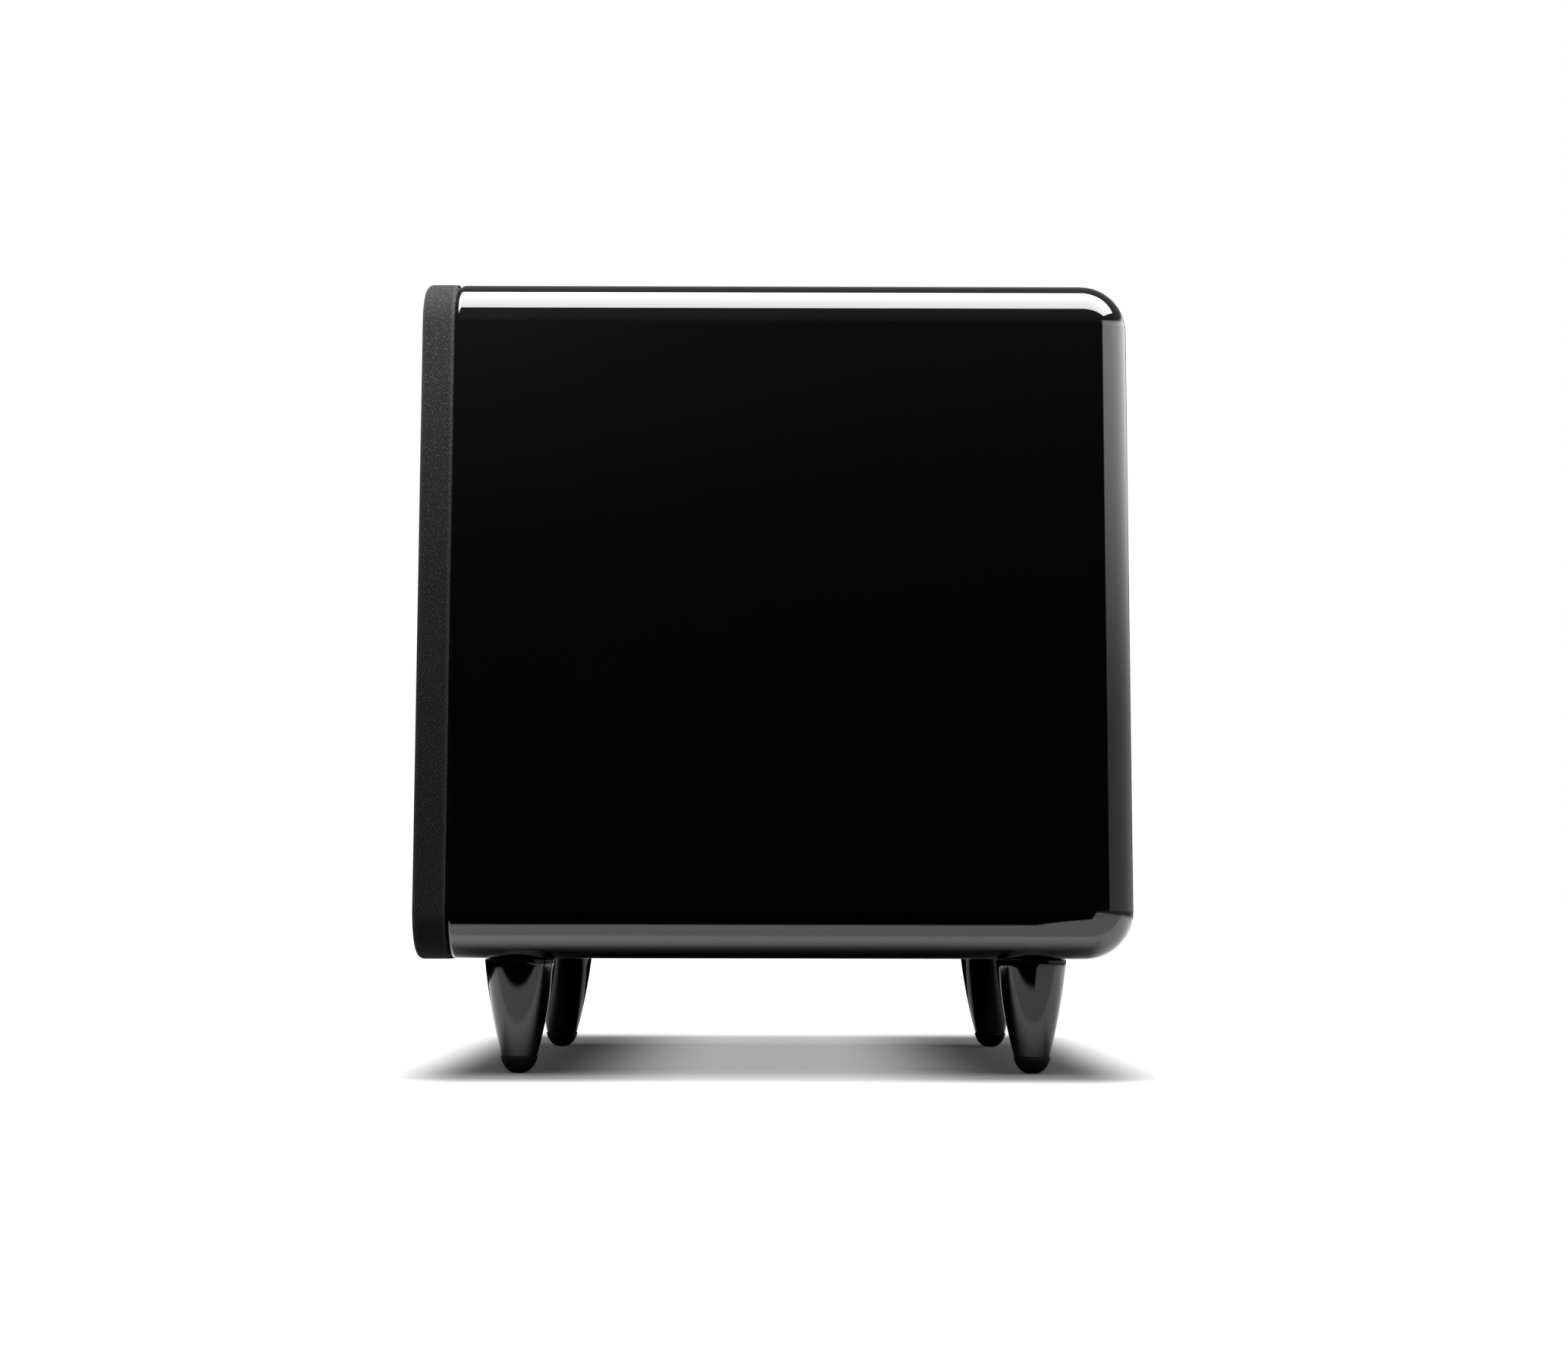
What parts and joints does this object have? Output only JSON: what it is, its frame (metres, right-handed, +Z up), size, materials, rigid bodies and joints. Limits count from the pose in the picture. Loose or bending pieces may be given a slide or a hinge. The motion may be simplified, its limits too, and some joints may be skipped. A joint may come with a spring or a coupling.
{
  "type": "subwoofer",
  "caption": "Compact powered subwoofer: gloss cabinet with rounded edges, pull-off cloth grille, front woofer, down-firing port, rear control tray, tapered legs.",
  "frame": {"origin": "on the floor, under the middle of the whole object", "axes": "+Z up, the grille faces -Y and the control tray faces +Y, +X to the right of someone facing the grille"},
  "size_m": [0.2506, 0.3, 0.3358],
  "materials": {
    "gloss_lacquer": "high-gloss black polyester lacquer over fibreboard",
    "gloss_leg": "gloss black",
    "grille_cloth": "charcoal acoustic knit",
    "fibreboard": "bare medium-density fibreboard",
    "painted_board": "fibreboard with matte black paint on its front",
    "fibre": "white polyester wadding",
    "black_plastic": "fine moulded texture",
    "satin_plastic": "satin",
    "rubber": "matte black",
    "foam": "closed-cell foam",
    "black_paint": "fine black powder coat",
    "zinc_steel": "zinc plate",
    "ferrite": "sintered dark grey",
    "spider_cloth": "resin-dipped woven cloth",
    "copper": "enamelled copper winding",
    "cone_paper": "black pressed pulp",
    "dust_cap": "satin",
    "circuit_board": "green solder mask",
    "bare_aluminium": "extruded, bare",
    "transformer_tape": "wound polyester tape",
    "gold_brass": "gold plated",
    "lamp_lens": "clear green",
    "black_zinc": "black zinc"
  },
  "bodies": {
    "cabinet": {"cabinet_shell": "gloss_lacquer", "front_baffle": "painted_board", "window_brace": "fibreboard", "damping_wadding": "fibre", "port_tube": "black_plastic", "woofer_gasket": "foam", "woofer_basket": "black_paint", "woofer_top_plate": "zinc_steel", "woofer_magnet": "ferrite", "woofer_yoke": "zinc_steel", "woofer_spider": "spider_cloth", "woofer_surround": "rubber", "woofer_terminals": "circuit_board", "woofer_lead": "rubber", "amp_panel": "black_paint", "amp_gasket": "foam", "amp_board": "circuit_board", "amp_heatsink": "bare_aluminium", "amp_transformer": "transformer_tape", "line_in_left": "gold_brass", "line_in_right": "gold_brass", "rocker_housing": "black_plastic", "mains_inlet": "black_plastic", "standby_lamp": "lamp_lens", "leg_front_left": "gloss_leg", "foot_front_left": "rubber", "leg_front_right": "gloss_leg", "foot_front_right": "rubber", "leg_back_left": "gloss_leg", "foot_back_left": "rubber", "leg_back_right": "gloss_leg", "foot_back_right": "rubber", "grille_socket_upper_left": "rubber", "grille_socket_upper_right": "rubber", "grille_socket_lower_left": "rubber", "grille_socket_lower_right": "rubber", "woofer_screw_1": "black_zinc", "amp_screw_1": "black_zinc", "woofer_screw_2": "black_zinc", "amp_screw_2": "black_zinc", "woofer_screw_3": "black_zinc", "amp_screw_3": "black_zinc", "woofer_screw_4": "black_zinc", "amp_screw_4": "black_zinc"},
    "grille": {"grille_frame": "black_plastic", "grille_cloth": "grille_cloth", "grille_peg_upper_left": "black_plastic", "grille_peg_upper_right": "black_plastic", "grille_peg_lower_left": "black_plastic", "grille_peg_lower_right": "black_plastic"},
    "cone": {"woofer_cone": "cone_paper", "woofer_dust_cap": "dust_cap", "woofer_coil": "copper"},
    "level_control": {"level_knob": "satin_plastic", "level_shaft": "bare_aluminium"},
    "crossover_control": {"crossover_knob": "satin_plastic", "crossover_shaft": "bare_aluminium"},
    "phase_switch": {"phase_slider": "satin_plastic"},
    "auto_switch": {"auto_slider": "satin_plastic"},
    "power_switch": {"power_rocker": "satin_plastic"}
  },
  "joints": [
    {"name": "grille_pull", "type": "slide", "parent": "cabinet", "child": "grille", "axis": [0, -1, 0], "range_m": [0, 0.06]},
    {"name": "cone_travel", "type": "slide", "parent": "cabinet", "child": "cone", "axis": [0, -1, 0], "range_m": [-0.006, 0.006], "stiffness_N_per_m": 2400, "deforming": ["woofer_surround", "woofer_spider"]},
    {"name": "level_turn", "type": "hinge", "parent": "cabinet", "child": "level_control", "pos_m": [0.036, 0.13105, 0.24775], "axis": [0, -1, 0], "range_deg": [-150, 150]},
    {"name": "crossover_turn", "type": "hinge", "parent": "cabinet", "child": "crossover_control", "pos_m": [-0.036, 0.13105, 0.24775], "axis": [0, -1, 0], "range_deg": [-150, 150]},
    {"name": "phase_slide", "type": "slide", "parent": "cabinet", "child": "phase_switch", "axis": [-1, 0, 0], "range_m": [0, 0.004]},
    {"name": "auto_slide", "type": "slide", "parent": "cabinet", "child": "auto_switch", "axis": [-1, 0, 0], "range_m": [0, 0.004]},
    {"name": "power_rock", "type": "hinge", "parent": "cabinet", "child": "power_switch", "pos_m": [0.04, 0.13105, 0.12975], "axis": [-1, 0, 0], "range_deg": [0, 16]}
  ]
}
